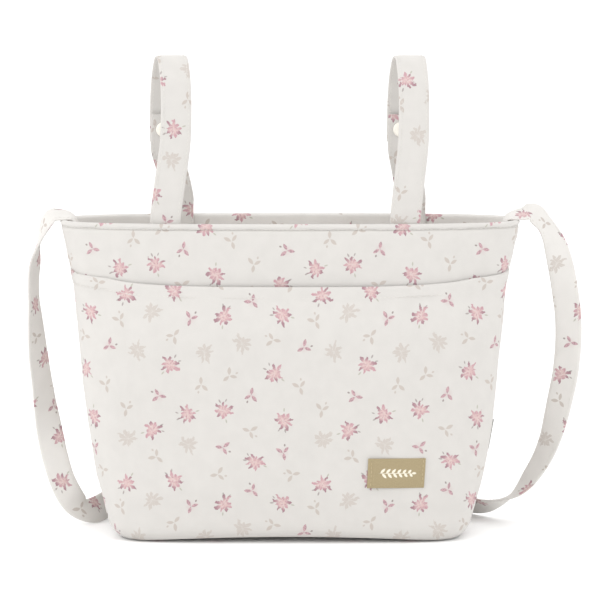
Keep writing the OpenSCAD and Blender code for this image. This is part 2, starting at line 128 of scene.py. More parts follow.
def ease(value, low, high):
    t = np.clip((value - low) / (high - low), 0, 1)
    return t * t * (3 - 2 * t)


def ripple(x, y, seed, size, count=7):
    """Smooth uneven waves about size millimetres long, roughly from -1 to 1"""
    rng = np.random.RandomState(seed)
    total = 0
    for turn, phase, stretch in rng.uniform(0, 1, (count, 3)):
        along = x * math.cos(math.tau * turn) + y * math.sin(math.tau * turn)
        total = total + np.sin(math.tau * (along / (size * (0.6 + stretch)) + phase))
    return total / count ** 0.5


# ---- Meshes ------------------------------------------------------------------
def make_mesh(name, points, faces, material, sharp=42):
    """A closed mesh from points in millimetres"""
    mesh = bpy.data.meshes.new(name)
    mesh.from_pydata((np.asarray(points, float) * MM).tolist(), [], faces)
    shape = bmesh.new()
    shape.from_mesh(mesh)
    bmesh.ops.recalc_face_normals(shape, faces=shape.faces)
    shape.to_mesh(mesh)
    shape.free()
    mesh.shade_smooth()
    mesh.set_sharp_from_angle(angle=math.radians(sharp))
    mesh.materials.append(material)
    piece = bpy.data.objects.new(name, mesh)
    bpy.context.scene.collection.objects.link(piece)
    return piece


def grid_faces(rows, cols, start=0, wrap=False):
    i, j = np.meshgrid(np.arange(rows - 1), np.arange(cols if wrap else cols - 1), indexing="ij")
    a, b = start + i * cols + j, start + i * cols + (j + 1) % cols
    return np.stack([a, a + cols, b + cols, b], -1).reshape(-1, 4).tolist()


def sheet_faces(rows, cols):
    """Faces of a closed sheet whose two sides are grids of rows by cols points"""
    other = rows * cols
    faces = grid_faces(rows, cols) + [f[::-1] for f in grid_faces(rows, cols, other)]
    border = ([(0, j) for j in range(cols)] + [(i, cols - 1) for i in range(1, rows)]
              + [(rows - 1, j) for j in range(cols - 2, -1, -1)] + [(i, 0) for i in range(rows - 2, 0, -1)])
    ring = [i * cols + j for i, j in border]
    return faces + [[a, b, other + b, other + a] for a, b in zip(ring, ring[1:] + ring[:1])]


def closed_rings(rings):
    """Points and faces of a round shape, from rings of points along it"""
    rows, sides = rings.shape[:2]
    last = sides * (rows - 1)
    caps = [list(range(sides))[::-1], [last + k for k in range(sides)]]
    return rings.reshape(-1, 3), grid_faces(rows, sides, wrap=True) + caps


def cloth_sheet(name, outside, inside, uv, material, phase=None):
    """A sheet of cloth between two grids of points. uv are its own flat coordinates"""
    rows, cols = outside.shape[:2]
    points = np.concatenate([outside.reshape(-1, 3), inside.reshape(-1, 3)])
    piece = make_mesh(name, points, sheet_faces(rows, cols), material)
    lay_print(piece, np.concatenate([uv.reshape(-1, 2)] * 2), phase)
    return piece


def joined(name, parts, material, sharp=42):
    """One mesh from (points, faces) pairs"""
    points, faces, count = [], [], 0
    for p, f in parts:
        points.append(np.asarray(p, float))
        faces += [[count + k for k in face] for face in f]
        count += len(p)
    return make_mesh(name, np.concatenate(points), faces, material, sharp)


# ---- The print ---------------------------------------------------------------
# One repeat of the print: where each motif of each kind lies and how far it is turned
REPEAT = np.array([153, 147])
PLACES = [
    # flowers
    [(-90, 199, 10), (-51, 180, -35), (-6, 181, 50), (25, 196, 120), (-93, 142, -70), (-12, 136, 25),
     (-80, 104, 80), (-51, 107, -15), (-5, 99, 150), (46, 91, -100), (-27, 67, 40)],
    # sprigs
    [(-77, 178, 0), (-29, 191, 60), (11, 156, -40), (51, 118, 100), (-30, 119, 190), (-52, 78, -80),
     (-5, 74, 30)],
    # pale flowers
    [(46, 183, 20), (-66, 152, 75), (-37, 159, -50), (34, 153, 130), (-79, 80, 0), (26, 84, -120)],
    # pale sprigs
    [(20, 176, 45), (-47, 134, -30), (-13, 162, 100), (-90, 165, 160), (-31, 91, -90), (25, 107, 10),
     (49, 70, 70), (-56, 57, -60), (-69, 127, 200), (8, 125, 35), (2, 57, 120)]]
MOTIFS = [(x, y, kind, turn) for kind, places in enumerate(PLACES) for x, y, turn in places]
MOTIF_SIZE = np.array([9.4, 7.2, 9.6, 7.4])  # outer radius of each kind of motif


def lay_print(piece, uv, phase=None):
    """Gives each corner its place in the cloth, and, where the cloth is printed, its place in the
    nearest motif. uv holds the flat coordinates of the vertices, in millimetres"""
    mesh = piece.data
    vertex = np.empty(len(mesh.loops), int)
    mesh.loops.foreach_get("vertex_index", vertex)
    corner = uv[vertex]

    def store(name, *columns):
        data = np.zeros((len(vertex), 3), np.float32)
        for k, column in enumerate(columns):
            data[:, k] = column
        mesh.attributes.new(name, "FLOAT_VECTOR", "CORNER").data.foreach_set("vector", data.ravel())

    store("cloth", corner[:, 0], corner[:, 1])
    if phase is None:
        return
    totals = np.empty(len(mesh.polygons), int)
    mesh.polygons.foreach_get("loop_total", totals)
    face = np.repeat(np.arange(len(totals)), totals)
    corner = corner + np.array(phase)
    centre = np.zeros((len(totals), 2))
    np.add.at(centre, face, corner)
    centre /= totals[:, None]
    best = np.full(len(totals), np.inf)
    chosen = np.zeros(len(totals), int)
    origin = np.zeros((len(totals), 2))
    for index, (x, y, kind, _) in enumerate(MOTIFS):
        away = centre - (x, y)
        away -= REPEAT * np.round(away / REPEAT)
        far = np.hypot(away[:, 0], away[:, 1]) / MOTIF_SIZE[kind]
        nearer = far < best
        best[nearer] = far[nearer]
        chosen[nearer] = index
        origin[nearer] = (centre - away)[nearer]
    kinds = np.array([m[2] for m in MOTIFS])[chosen]
    turns = np.radians([m[3] for m in MOTIFS])[chosen][face]
    local = (corner - origin[face]) / MOTIF_SIZE[kinds][face][:, None]
    store("motif", local[:, 0] * np.cos(turns) + local[:, 1] * np.sin(turns),
          local[:, 1] * np.cos(turns) - local[:, 0] * np.sin(turns), chosen[face] * 0.37)
    store("look", (kinds % 2)[face], (kinds // 2)[face])


# ---- Materials ---------------------------------------------------------------
def linear(r, g, b):
    """sRGB from 0 to 255, as the linear colour that the shaders take"""
    parts = [c / 255 for c in (r, g, b)]
    return tuple(c / 12.92 if c < 0.04045 else ((c + 0.055) / 1.055) ** 2.4 for c in parts) + (1,)


class Wire:
    """A value on its way through a shader, so that shader sums are written as formulas"""

    def __init__(self, shade, socket):
        self.shade = shade
        self.socket = socket

    def __add__(self, other):
        return self.shade.math("ADD", self, other)

    def __sub__(self, other):
        return self.shade.math("SUBTRACT", self, other)

    def __rsub__(self, other):
        return self.shade.math("SUBTRACT", other, self)

    def __mul__(self, other):
        return self.shade.math("MULTIPLY", self, other)


class Shade:
    """One node material, with short names for the nodes that it is made of"""

    def __init__(self, name, roughness, metallic=0, sheen=0, specular=0.5):
        self.material = bpy.data.materials.new(name)
        self.material.use_nodes = True
        self.tree = self.material.node_tree
        self.tree.nodes.clear()
        self.shader = self.node("BsdfPrincipled", {"Roughness": roughness, "Metallic": metallic,
                                                   "Sheen Weight": sheen, "Specular IOR Level": specular})
        self.node("OutputMaterial", {0: Wire(self, self.shader.outputs[0])})

    def node(self, kind, inputs, **settings):
        """A new node, with values or wires for its inputs"""
        made = self.tree.nodes.new("ShaderNode" + kind)
        for key, value in settings.items():
            setattr(made, key, value)
        for key, value in inputs.items():
            self.put(made.inputs[key], value)
        return made

    def put(self, socket, value):
        if isinstance(value, Wire):
            self.tree.links.new(value.socket, socket)
        else:
            socket.default_value = value

    def wire(self, result, kind, inputs, **settings):
        """One result of a new node"""
        return Wire(self, self.node(kind, inputs, **settings).outputs[result])

    def math(self, operation, *values, clamp=False):
        return self.wire(0, "Math", dict(enumerate(values)), operation=operation, use_clamp=clamp)

    def attribute(self, name):
        return self.wire("Vector", "Attribute", {}, attribute_name=name)

    def split(self, vector):
        return [Wire(self, socket) for socket in self.node("SeparateXYZ", {0: vector}).outputs]

    def mix(self, share, a, b):
        return self.wire(2, "Mix", {0: share, 6: a, 7: b}, data_type="RGBA")

    def noise(self, vector, scale, detail=2.0):
        return self.wire("Fac", "TexNoise", {"Vector": vector, "Scale": scale, "Detail": detail})

    def step(self, value, low, high):
        """0 at low, 1 at high and smooth between"""
        ends = {"Value": value, "From Min": low, "From Max": high}
        return self.wire("Result", "MapRange", ends, interpolation_type="SMOOTHSTEP")

    def place(self):
        """Where a point lies on the object, in metres"""
        return self.wire("Object", "TexCoord", {})

    def colour(self, value):
        self.put(self.shader.inputs["Base Color"], value)

    def bump(self, height, distance, strength):
        normal = self.wire(0, "Bump", {"Strength": strength, "Distance": distance, "Height": height})
        self.put(self.shader.inputs["Normal"], normal)

    def weave(self, vector, thread):
        """Height of a plain weave whose threads are that wide"""
        x, y, _ = self.split(vector)
        return self.math("SINE", x * (math.pi / thread)) * self.math("SINE", y * (math.pi / thread))

    def far(self, x, y):
        return self.math("SQRT", x * x + y * y)

    def petals(self, x, y, seed, count, reach, width):
        """Share of petal at a point, with count petals of uneven length round the origin. The others
        are how far out the point is, a random number for its petal, and the share of its vein"""
        far = self.far(x, y)
        turns = self.math("ARCTAN2", y, x) * (count / math.tau) + seed
        cell = self.math("MODULO", self.math("FLOOR", turns) + count * 4.0, float(count))
        random = self.wire("Value", "TexWhiteNoise", {"W": cell}, noise_dimensions="1D")
        part = self.math("DIVIDE", far, random * (0.5 * reach) + 0.6 * reach)
        across = self.math("ABSOLUTE", self.math("FRACT", turns) - 0.5) * (far * (math.tau / count))
        swell = self.math("SINE", self.math("POWER", part, 1.35, clamp=True) * math.pi)
        shown = self.step(swell * width - across, -0.015, 0.02) * self.step(part, 1.0, 0.9)
        vein = self.step(across, 0.035, 0.0) * self.step(part, 0.25, 0.6)
        return shown, part, self.math("FRACT", random * 7.3), vein

    def stroke(self, x, y, start, turn, length, width):
        """Share of a leaf-shaped stroke from start, towards turn degrees"""
        c, s = math.cos(math.radians(turn)), math.sin(math.radians(turn))
        dx, dy = x - start[0], y - start[1]
        across = self.math("ABSOLUTE", dy * c - dx * s)
        t = self.math("ADD", dx * (c / length), dy * (s / length), clamp=True)
        return self.step(t * (1.0 - t) * (4 * width) - across, 0.0, 0.04)

    def strokes(self, x, y, *rows):
        total = self.stroke(x, y, *rows[0])
        for row in rows[1:]:
            total = self.math("MAXIMUM", total, self.stroke(x, y, *row))
        return total


# The second ground is the same cloth made lighter: painted light, so that the straps and the rim facing look
# more brightly lit than the walls
GROUND, PAINTED_LIGHT_GROUND = linear(202, 199, 195), linear(212, 209, 205)
ROSE, MAUVE, BLUSH = linear(188, 152, 157), linear(156, 125, 132), linear(202, 177, 174)
BARK, OLIVE, PALE = linear(128, 114, 112), linear(166, 164, 150), linear(184, 175, 168)


def cloth_colour(shade, ground):
    """Ground colour with faint unevenness of the yarn"""
    cloth = shade.attribute("cloth")
    soft = shade.noise(cloth, 0.09, 3.0) * 0.6 + shade.noise(cloth, 1.7) * 0.4
    darker = tuple(c * 0.965 for c in ground[:3]) + (1,)
    return cloth, shade.mix(shade.step(soft, 0.35, 0.65), darker, ground)


def cloth_bump(shade, cloth, thread=0.42):
    height = shade.noise(cloth, 2.6, 3.0) * 0.7 + shade.weave(cloth, thread) * 0.3
    shade.bump(height, 0.00024, 0.5)


def printed_cloth(name, colour):
    """Cloth with the floral print, whose motif at each corner is what lay_print stored there"""
    shade = Shade(name, 0.82, sheen=0.12, specular=0.25)
    cloth, ground = cloth_colour(shade, colour)
    motif = shade.attribute("motif")
    x0, y0, seed = shade.split(motif)
    x = x0 + shade.noise(motif, 2.3) * 0.5 - 0.22
    y = y0 + shade.noise(cloth, 0.31) * 0.5 - 0.25
    shape, faint, _ = shade.split(shade.attribute("look"))

    # flower: uneven petals with veins, a few of them dark, a small inner clump and loose leaves
    outer, part, tone, vein = shade.petals(x, y, seed, 9, 0.9, 0.135)
    inner, _, _, core = shade.petals(x - 0.1, y, seed + 0.4, 6, 0.5, 0.085)
    leaves = shade.strokes(x0, y0, ((-0.42, 0.5), 132, 0.42, 0.09), ((-0.1, 0.68), 80, 0.36, 0.075))
    tips = shade.stroke(x0, y0, (0.3, -0.62), -62, 0.42, 0.08)
    streak = shade.step(shade.noise(cloth, 0.75, 1.0), 0.42, 0.6)
    fill = shade.mix(shade.step(part, 0.2, 0.75), BLUSH, ROSE)
    fill = shade.mix(shade.step(tone, 0.55, 0.75) * shade.step(part, 0.3, 0.8), fill, MAUVE)
    fill = shade.mix(vein * 0.55, fill, MAUVE)
    bloom = shade.mix(outer, ground, fill)
    bloom = shade.mix(inner * 0.75, bloom, shade.mix(streak, BLUSH, ROSE))
    bloom = shade.mix(core * inner * 0.6, bloom, MAUVE)
    bloom = shade.mix(tips * 0.8, bloom, OLIVE)
    bloom = shade.mix(leaves * 0.6, bloom, BARK)

    # sprig: three leaves on a thin stem, with a berry beside them
    blades = shade.strokes(x0, y0, ((-0.05, 0.05), 118, 0.9, 0.21), ((0.02, 0.0), 20, 0.85, 0.19),
                           ((0.0, -0.02), 250, 0.85, 0.2))
    stem = shade.strokes(x0, y0, ((-0.1, 0.5), -85, 1.3, 0.035), ((0.45, 0.5), 60, 0.35, 0.12))
    twig = shade.mix(shade.step(shade.far(x, y), 0.75, 0.1) * 0.22, ground, ROSE)
    twig = shade.mix(stem * 0.75, twig, BARK)
    twig = shade.mix(blades * 0.9, twig, shade.mix(streak, ROSE, MAUVE))

    # the same two motifs, barely darker than the ground
    ghost_twig = shade.math("MAXIMUM", blades, stem) * 0.95
    ghost = shade.mix(shape, (outer - vein * 0.4) * 0.75, ghost_twig)
    shown = shade.mix(shape, bloom, twig)
    shade.colour(shade.mix(faint, shown, shade.mix(ghost, ground, PALE)))
    cloth_bump(shade, cloth)
    return shade.material


def plain_cloth(name, colour, thread):
    shade = Shade(name, 0.85, sheen=0.12, specular=0.25)
    cloth, ground = cloth_colour(shade, linear(*colour))
    shade.colour(ground)
    cloth_bump(shade, cloth, thread)
    return shade.material


def place_material(name, colour, dark, scale, depth, roughness, metallic=0, sheen=0):
    """For pieces with no flat coordinates: a colour that varies from place to place, and grain"""
    shade = Shade(name, roughness, metallic=metallic, sheen=sheen)
    grain = shade.noise(shade.place(), scale, 4.0)
    shade.colour(shade.mix(shade.step(grain, 0.35, 0.7), linear(*dark), linear(*colour)))
    shade.bump(grain, depth, 0.6)
    return shade.material


def patch_leather():
    """Tan leatherette with a small cream leaf sprig pressed into it"""
    shade = Shade("patch_leather", 0.62, specular=0.35)
    cloth = shade.attribute("cloth")
    x, y, _ = shade.split(cloth)
    grain = shade.noise(cloth, 1.9, 5.0)
    hide = shade.mix(shade.step(grain, 0.3, 0.7), linear(146, 131, 100), linear(164, 150, 118))
    leaves = [((-15.5, 0), 0, 28, 0.28), ((10.6, 0), 0, 4, 0.9)]
    for k in range(6):
        at, length = -13.2 + 4.2 * k, 5.2 - 0.3 * k
        leaves += [((at, 0), 48, length, 1.0), ((at + 1.2, 0), -48, length, 1.0)]
    sprig = shade.strokes(x, y, *leaves)
    shade.colour(shade.mix(sprig, hide, linear(226, 219, 202)))
    shade.bump(grain * 0.5 - sprig * 0.8, 0.0002, 0.6)
    return shade.material


PRINT = printed_cloth("printed_cloth", GROUND)
# The same print on the lighter ground, painted light for the straps and the rim facing
PAINTED_LIGHT_PRINT = printed_cloth("printed_cloth_painted_light", PAINTED_LIGHT_GROUND)
LINING = plain_cloth("lining_cloth", (233, 228, 219), 0.3)
WADDING = place_material("wadding_fleece", (246, 245, 240), (232, 231, 226), 900, 0.0006, 0.95, sheen=0.2)
BOARD = place_material("base_board", (150, 146, 140), (132, 128, 122), 700, 0.0002, 0.8)
TAPE = plain_cloth("zip_tape", (236, 231, 222), 0.5)
COIL = place_material("zip_coil", (238, 234, 226), (226, 221, 211), 2000, 0.00003, 0.42)
METAL = place_material("zip_metal", (208, 200, 184), (190, 182, 166), 1500, 0.00002, 0.3, metallic=1)
SNAP = place_material("snap_plastic", (243, 240, 231), (236, 232, 222), 1200, 0.00002, 0.35)
PATCH = patch_leather()
TAG = plain_cloth("tag_cloth", (158, 158, 154), 0.35)
THREAD = place_material("sewing_thread", (216, 213, 208), (200, 197, 191), 6000, 0.00003, 0.7, sheen=0.2)
PATCH_THREAD = place_material("patch_thread", (197, 182, 150), (176, 160, 126), 6000, 0.00003, 0.7)


# ---- What each piece rides on ------------------------------------------------
def own(piece, body, slot, *nodes):
    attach(piece, body)
    if nodes:
        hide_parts(*nodes)
    return piece


# ---- Stitches ----------------------------------------------------------------
STITCH_LENGTH, STITCH_PITCH, STITCH_R = 2.5, 3.3, 0.24
CAPSULE = [(-1, 0), (-0.82, 0.75), (-0.3, 1), (0.3, 1), (0.82, 0.75), (1, 0)]


def between(line, along, at):
    """The place at a length along a line"""
    return np.array([np.interp(at, along, line[:, k]) for k in range(3)])


def stitches(name, lines, material=None):
    """Rows of stitches along lines of (point, outward direction), lying half in the cloth"""
    parts = []
    for points, outward in lines:
        step = np.linalg.norm(np.diff(points, axis=0), axis=1)
        along = np.concatenate([[0], np.cumsum(step)])
        for middle in np.arange(STITCH_PITCH / 2, along[-1], STITCH_PITCH):
            at = between(points, along, middle)
            t = between(points, along, middle + 1) - between(points, along, middle - 1)
            t /= np.linalg.norm(t)
            out = between(outward, along, middle)
            out -= t * (out @ t)
            out /= np.linalg.norm(out)
            side = np.cross(t, out)
            parts.append(closed_rings(np.array([
                [at + t * a * STITCH_LENGTH / 2 + out * (0.06 - 0.16 * abs(a) ** 2)
                 + (side * math.cos(w) + out * math.sin(w)) * max(r, 0.12) * STITCH_R
                 for w in np.arange(6) * math.tau / 6] for a, r in CAPSULE])))
    return joined(name, parts, material or THREAD, 80)


def outward_of(points):
    """The level direction from the bag's middle to each point"""
    out = points * np.array([1, 1, 0])
    return out / np.linalg.norm(out, axis=1)[:, None]


# ---- Soft cloth simulation ---------------------------------------------------
SIM_FRAMES = 16
SIM_SLACK = 0.006  # how much larger the cloth is than its frame
BULGE_CAP = 2.5


def relaxed(points, pinned):
    """How far each point of a grid of cloth bulges outward, in millimetres, when cloth a little
    larger than its frame hangs from its pinned points"""
    rows, cols = points.shape[:2]
    mesh = bpy.data.meshes.new("simulated")
    mesh.from_pydata((points.reshape(-1, 3) * MM).tolist(), [], grid_faces(rows, cols))
    cloth = bpy.data.objects.new("simulated", mesh)
    scene = bpy.context.scene
    scene.collection.objects.link(cloth)
    group = cloth.vertex_groups.new(name="pinned")
    for index, weight in enumerate(pinned.ravel()):
        if weight > 0:
            group.add([index], float(weight), "REPLACE")
    modifier = cloth.modifiers.new("cloth", "CLOTH")
    settings = modifier.settings
    settings.quality = 6
    settings.mass = 0.25
    settings.tension_stiffness = settings.compression_stiffness = 12
    settings.shear_stiffness = 6
    settings.bending_stiffness = 0.35
    settings.vertex_group_mass = "pinned"
    settings.shrink_min = -SIM_SLACK
    settings.effector_weights.gravity = 0.4
    modifier.point_cache.frame_end = SIM_FRAMES
    for frame_number in range(1, SIM_FRAMES + 1):
        scene.frame_set(frame_number)
    settled = cloth.evaluated_get(bpy.context.evaluated_depsgraph_get())
    found = np.empty(rows * cols * 3)
    settled.data.vertices.foreach_get("co", found)
    moved = found.reshape(rows, cols, 3) / MM - points
    bpy.data.objects.remove(cloth)
    scene.frame_set(1)
    outward = np.cross(np.gradient(points, axis=0), np.gradient(points, axis=1))
    outward /= np.maximum(np.linalg.norm(outward, axis=-1, keepdims=True), 1e-9)
    outward *= np.sign((outward[..., 1] * points[..., 1]).sum())
    bulge = (moved * outward).sum(-1, keepdims=True)
    return outward * np.clip(bulge, 0, BULGE_CAP) * (1 - pinned)[..., None]


def near_border(shape, width):
    """Weights that are 1 at the border of a grid and fall to 0 over width rows"""
    i, j = np.indices(shape)
    return np.clip(1 - np.minimum.reduce([i, shape[0] - 1 - i, j, shape[1] - 1 - j]) / width, 0, 1)


# ---- Outer cloth -------------------------------------------------------------
SEAM_GAP = 0.02  # between the edge of a panel and the side seam
S_SEAM = 1 - SEAM_GAP / girth(RIM_H)
SPAN = 420  # about how far half a panel runs along the wall, to place the waves in the cloth
PANEL_CUT = (2 * girth(RIM_H) * MM, (RIM_H + 7) * MM)  # a panel is cut as wide as the rim's half
FACE = 3.4  # size of a face of the cloth
ACROSS = np.linspace(-S_SEAM, S_SEAM, round(2 * girth(RIM_H / 2) / FACE))
TOP = RIM_H - EDGE_R
POCKET_TUCK = 2.2  # how far the pocket and the panel behind it are squeezed in at the side seams
RIM_ROWS = np.array([6.4, 5.6, 5, 4.6, 4.2, 3.8, 3.2, 2.5, 1.6, 0.8, 0.25, 0])
RIM_STITCH = 4.2  # how far the rim's stitches lie below its top


def seam_pull(s, v):
    """How far the cloth is drawn in beside the side seams, with small puckers"""
    from_seam = (1 - np.abs(s)) * girth(120)
    pucker = 0.5 * np.sin(v / 5.5 + 1.3 * np.sin(v / 17)) * np.exp(-(from_seam / 7) ** 2)
    return 0.9 * np.exp(-(from_seam / 1.8) ** 2) + 0.35 * pucker


def squeeze(s, v, back):
    """How far every layer of the wall is drawn in at the side seams, more so in front, where the
    ends of the pocket are sewn in too"""
    pull = np.where(v > 0, seam_pull(s, v), 0) * ease(TOP - v, -1, 8)
    if back:
        return pull
    return pull + POCKET_TUCK * at_seam(s) * ease(pocket_top(s) - EDGE_R - v, -2, 3)


def swell(waves):
    """Waves that only go outward, so that the cloth stays clear of the layer under it"""
    return (waves + np.sqrt(waves ** 2 + 0.5)) / 2


def rim_stitch_dip(v):
    """The line of stitches draws the cloth in, and the fold above it stays plump"""
    return 1.1 * np.exp(-(v - TOP + RIM_STITCH) ** 2) - 0.5 * np.exp(-((v - TOP + 1.9) / 1.2) ** 2)


def rolled(distance, depth, radius):
    """How far cloth is drawn in near an edge that it rolls over"""
    share = np.clip(1 - distance / radius, 0, 1)
    return depth * (1 - np.sqrt(1 - share ** 2))


def flat_uv(grid, v, across=1):
    """Flat coordinates of a grid of cloth: how far it runs from the middle of the panel, measured
    along the cloth, and the height up the wall"""
    run = np.zeros(grid.shape[:2])
    run[1:] = np.cumsum(np.linalg.norm(np.diff(grid, axis=0), axis=-1), axis=0)
    middle = (run[(len(run) - 1) // 2] + run[len(run) // 2]) / 2
    height = np.where(v < 0, EDGE_R + np.radians(v) * EDGE_R, EDGE_R + v)
    return np.stack([across * (run - middle), height], -1)


def at_seam(s):
    """1 at the side seams, 0 away from them"""
    return 1 - ease(1 - np.abs(s), 0.03, 0.17)


def pocket_top(s):
    return POCKET_H + POCKET_RISE * np.abs(s) ** 3


def outer_panel(side):
    back = side == "back"
    edge = np.linspace(-90, -8, 8)
    rows = np.concatenate([edge, np.linspace(0, TOP - 7.5, 64), TOP - RIM_ROWS])
    s, v = np.meshgrid(ACROSS, rows, indexing="ij")
    height = EDGE_R + v
    free = ease(height, 30, 120) if back else ease(height, 196, 222)
    waves = free * (0.9 * ripple(s * 400, v, 5 if back else 8, 120) + 0.35 * ripple(s * 400, v, 11, 38))
    waves = swell(waves) * ease(TOP - v, 0, 14) * ease(height, 10, 40)
    d = rolled(TOP - v, 2.6, 2.6) - waves + squeeze(s, v, back) + rim_stitch_dip(v)
    outside = skin(s, v, d)
    move = relaxed(outside, np.maximum(near_border(s.shape, 4), 1 - free))
    outside, inside = settle(outside + move), settle(skin(s, v, d + OUTER_T) + move)
    uv = flat_uv(outside, v, -1 if back else 1)
    phase = (31, -60) if back else (53, 37)
    piece = cloth_sheet(f"shell_{side}", *placed(side, outside, inside), uv, PRINT, phase)
    own(piece, "bag", "print_cloth", f"outer_{side}")


outer_panel("front")
outer_panel("back")


# ---- Front pocket ------------------------------------------------------------
SEAM_SHARE, SEAM_ANGLE, HEM = 0.06, -52, 8
POCKET_PHASE = (0, 2)


def gape(s, share):
    """How far the pocket stands off the panel behind it, drawn back a little at the mouth"""
    full = POCKET_GAPE * np.clip(np.cos(np.pi / 2 * s), 0, 1) ** 0.8 * (0.35 + 0.65 * share)
    return full * np.minimum(1, share * 5) * (1 - 0.75 * ease(share, 0.8, 1))


def pocket_v(s, share):
    return np.where(share < SEAM_SHARE, SEAM_ANGLE * (1 - share / SEAM_SHARE),
                    (pocket_top(s) - EDGE_R) * (share - SEAM_SHARE) / (1 - SEAM_SHARE))


def pocket_pieces():
    """The printed panel, turned over in a hem at its mouth, and the lining behind it"""
    shares = np.concatenate([np.linspace(0, SEAM_SHARE, 5)[:-1], np.linspace(SEAM_SHARE, 0.985, 56),
                             [0.991, 0.996, 0.999, 1.0]])
    s, share = np.meshgrid(ACROSS, shares, indexing="ij")
    v = pocket_v(s, share)
    height = EDGE_R + v
    below = pocket_top(s) - height  # distance below the mouth
    free = ease(height, 20, 70) * ease(1 - np.abs(s), 0.02, 0.2)
    waves = free * (1.0 * ripple(s * SPAN, height, 21, 140) + 0.3 * ripple(s * SPAN, height, 27, 42))
    waves *= 0.35 + 0.65 * ease(below, 6, 40)
    hem = 0.55 * ease(HEM - below, -0.6, 0.6) - 0.35 * np.exp(-((below - HEM - 0.6) / 0.9) ** 2)
    rounding = rolled(below, 1.3, 1.6)
    out = POCKET_OUT + waves + hem - rounding - seam_pull(s, height) - POCKET_TUCK * at_seam(s) * (v > 0)
    thick = np.maximum(OUTER_T + 0.9 * ease(HEM - below, -0.6, 0.6) - rounding, 0.5)

    def layer_at(depth):
        return skin(s, v, depth - out - gape(s, share))

    outside = layer_at(0)
    move = relaxed(outside, np.maximum(near_border(s.shape, 5), ease(30 - below, 0, 14)))
    piece = cloth_sheet("pocket_shell", settle(outside + move), settle(layer_at(thick) + move),
                        flat_uv(outside, v), PRINT, POCKET_PHASE)
    own(piece, "bag", "print_cloth", "pocket_panel")
    rows = np.flatnonzero(shares < 0.95)
    near, far = (settle(layer_at(thick + PLY + extra) + move)[::2][:, rows] for extra in (0, LINING_T))
    piece = cloth_sheet("pocket_inner_lining", near, far, flat_uv(near, v[::2][:, rows]), LINING)
    own(piece, "bag", "lining_cloth", "pocket_lining")


pocket_pieces()


# ---- Rim: the facing inside and the topstitching -----------------------------
def facing(side):
    """From the top of the rim, where it meets the outer cloth, down the inside"""
    drops = np.concatenate([[0.0, 0.25, 0.8, 1.6], np.linspace(3, FACING_H, 9)])
    s, drop = np.meshgrid(ACROSS, drops, indexing="ij")
    d = WALL + 0.6 - rolled(drop, 2.4, 2.6)
    d = d + 0.4 * ripple(s * SPAN, drop, 31 + (side == "back"), 70) * ease(drop, 2, 14)
    d = d - 0.6 * np.exp(-((drop - RIM_STITCH) / 0.9) ** 2)
    outside = skin(s, TOP - drop, d)
    inside = skin(s, TOP - drop - 0.4, d - 0.9)
    # The facing takes the lighter copy of the print, painted light against the shade inside the rim
    piece = cloth_sheet(f"rim_facing_{side}", *placed(side, outside, inside), flat_uv(outside, 30 - drop),
                        PAINTED_LIGHT_PRINT, (12, 25) if side == "back" else (-40, 60))
    own(piece, "bag", "print_cloth", f"facing_{side}")


def rim_stitches(side):
    s = np.linspace(-0.995, 0.995, 300)
    lines = []
    for d, sign in ((0.3, 1), (WALL + 0.35, -1)):
        points, = placed(side, skin(s, TOP - RIM_STITCH, d))
        lines.append((points, sign * outward_of(points)))
    own(stitches(f"rim_topstitch_{side}", lines), "bag", "print_cloth")


def hem_stitches():
    s = np.linspace(-0.97, 0.97, 300)
    share = SEAM_SHARE + (1 - SEAM_SHARE) * (1 - (HEM + 0.4) / (pocket_top(s) - EDGE_R))
    points = skin(s, pocket_v(s, share), -POCKET_OUT - 0.1 - gape(s, share))
    own(stitches("pocket_hem_topstitch", [(points, outward_of(points))]), "bag", "print_cloth")


for side in ("front", "back"):
    facing(side)
    rim_stitches(side)
hem_stitches()


# ---- Inside the wall ---------------------------------------------------------
def layer(name, node, side, d1, d2, top, material, slot, wave, uneven):
    """A layer of the wall, from just above the base to a height"""
    s, v = np.meshgrid(ACROSS[::2], np.linspace(2, top, 34), indexing="ij")
    give = wave * ripple(s * SPAN, v, uneven, 60) * soft_border(s, v, top) + squeeze(s, v, side == "back")
    outside, inside = skin(s, v, d1 + give), skin(s, v, d2 + give)
    piece = cloth_sheet(name, *placed(side, settle(outside), settle(inside)), flat_uv(outside, v), material)
    return own(piece, "bag", slot, node)


def soft_border(s, v, top):
    return ease(1 - np.abs(s), 0, 0.05) * ease(v, 2, 20) * ease(top - v, 0, 14)


for side in ("front", "back"):
    wadding = layer(f"quilt_wadding_{side}", f"wadding_{side}", side, OUTER_T + PLY,
                    OUTER_T + WADDING_T - 0.1, TOP - 4, WADDING, "wadding", 0.0, 40)
    lining = layer(f"inner_lining_{side}", f"lining_{side}", side, WALL - LINING_T, WALL,
                   RIM_H - FACING_H - EDGE_R - 1, LINING, "lining_cloth", 0.8, 44)


def base_disc(name, node, z1, z2, grow, material, slot, phase=None):
    """A layer of the base: rings of points from the middle out, arched like the cloth under it"""
    around = np.linspace(-S_SEAM, S_SEAM, 64)
    front = skin(around, -90, 0)
    ring = np.concatenate([front, to_back(front)[::-1]])
    edge = ring + grow * outward_of(ring)
    scale = np.array([1, 0.97, 0.9, 0.8, 0.68, 0.55, 0.42, 0.3, 0.18, 0.06])
    grids = []
    for z in (z1, z2):
        rows = edge[None] * np.array([1, 1, 0]) * scale[:, None, None]
        rows[..., 2] = z
        grids.append(settle(rows))
    rows, cols = grids[0].shape[:2]
    count = rows * cols
    faces = grid_faces(rows, cols, 0, True) + [f[::-1] for f in grid_faces(rows, cols, count, True)]
    faces += [[j, (j + 1) % cols, count + (j + 1) % cols, count + j] for j in range(cols)]
    inner = (rows - 1) * cols
    faces += [[inner + j for j in range(cols)][::-1], [count + inner + j for j in range(cols)]]
    points = np.concatenate([g.reshape(-1, 3) for g in grids])
    piece = make_mesh(name, points, faces, material)
    lay_print(piece, points[:, :2], phase)
    own(piece, "bag", slot, node)


